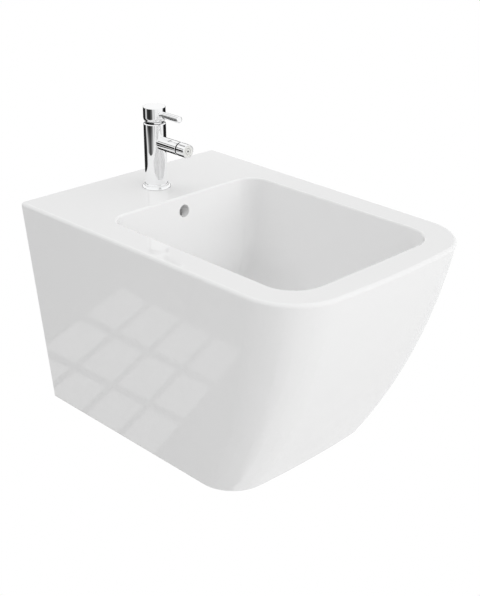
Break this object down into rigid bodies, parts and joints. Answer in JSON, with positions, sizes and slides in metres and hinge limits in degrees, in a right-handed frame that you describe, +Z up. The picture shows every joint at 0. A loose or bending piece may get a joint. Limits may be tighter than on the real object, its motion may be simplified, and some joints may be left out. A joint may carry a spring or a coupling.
{
  "type": "wall-hung bidet",
  "caption": "Wall-hung bidet: a drafted glazed bowl with a flat tap deck, a single-lever mixer with a swivel nozzle, an overflow and a push-plug waste.",
  "frame": {"origin": "on the wall plane, midway between the two wall studs", "axes": "+X to the right seen from the room, +Y into the wall, +Z up; the deck lies 100 mm above the origin"},
  "size_m": [0.3592, 0.5152, 0.4365],
  "materials": {
    "glazed_china": "gloss glaze",
    "chrome": "polished",
    "brass": "turned",
    "steel": "bright",
    "nylon": "moulded",
    "disc_ceramic": "lapped",
    "rubber": "matt"
  },
  "bodies": {
    "fixture": {"ceramic_body": "glazed_china", "wall_sleeves": "nylon", "wall_washers": "steel", "wall_nuts": "steel", "waste_body": "chrome", "waste_top_seal": "rubber", "waste_bottom_seal": "rubber", "waste_washer": "steel", "waste_backnut": "brass", "click_housing": "nylon", "click_spring": "steel", "base_ring": "chrome", "base_gasket": "rubber", "tap_body": "chrome", "fixing_stud": "steel", "fixing_seal": "rubber", "fixing_plate": "steel", "fixing_nut": "brass", "cartridge_housing": "nylon", "cartridge_seals": "rubber", "fixed_disc": "disc_ceramic", "cartridge_nut": "brass", "dome_cover": "chrome", "spout_washer": "rubber"},
    "rotor": {"cartridge_rotor": "nylon", "pivot_pin": "steel"},
    "lever": {"lever_stem": "steel", "lever_cap": "chrome", "lever_pin": "chrome", "grub_screw": "steel"},
    "disc": {"moving_disc": "disc_ceramic"},
    "swivel": {"ball_nipple": "brass"},
    "nozzle": {"nozzle_shell": "chrome", "ball_seat": "rubber", "flow_screen": "steel", "aerator_insert": "nylon"},
    "plug": {"plug_cap": "chrome", "plug_seal": "rubber", "plug_stem": "nylon"}
  },
  "joints": [
    {"name": "temperature_turn", "type": "hinge", "parent": "fixture", "child": "rotor", "pos_m": [0, -0.075, 0.194], "axis": [0, 0, 1], "range_deg": [-45, 45]},
    {"name": "flow_lift", "type": "hinge", "parent": "rotor", "child": "lever", "pos_m": [0, -0.075, 0.194], "axis": [-1, 0, 0], "range_deg": [0, 12]},
    {"name": "disc_slide", "type": "slide", "parent": "rotor", "child": "disc", "axis": [0, -1, 0], "range_m": [0, 0.00212]},
    {"name": "nozzle_spin", "type": "hinge", "parent": "fixture", "child": "swivel", "pos_m": [0, -0.1336, 0.167], "axis": [0, -1, 0], "continuous": true},
    {"name": "nozzle_tilt", "type": "hinge", "parent": "swivel", "child": "nozzle", "pos_m": [0, -0.1336, 0.167], "axis": [-1, 0, 0], "range_deg": [-10, 10]},
    {"name": "plug_press", "type": "slide", "parent": "fixture", "child": "plug", "axis": [0, 0, 1], "range_m": [0, 0.009], "deforming": ["click_spring"]}
  ],
  "couplings": [
    {"joint": "disc_slide", "follows": "flow_lift", "m_per_rad": 0.010126}
  ]
}
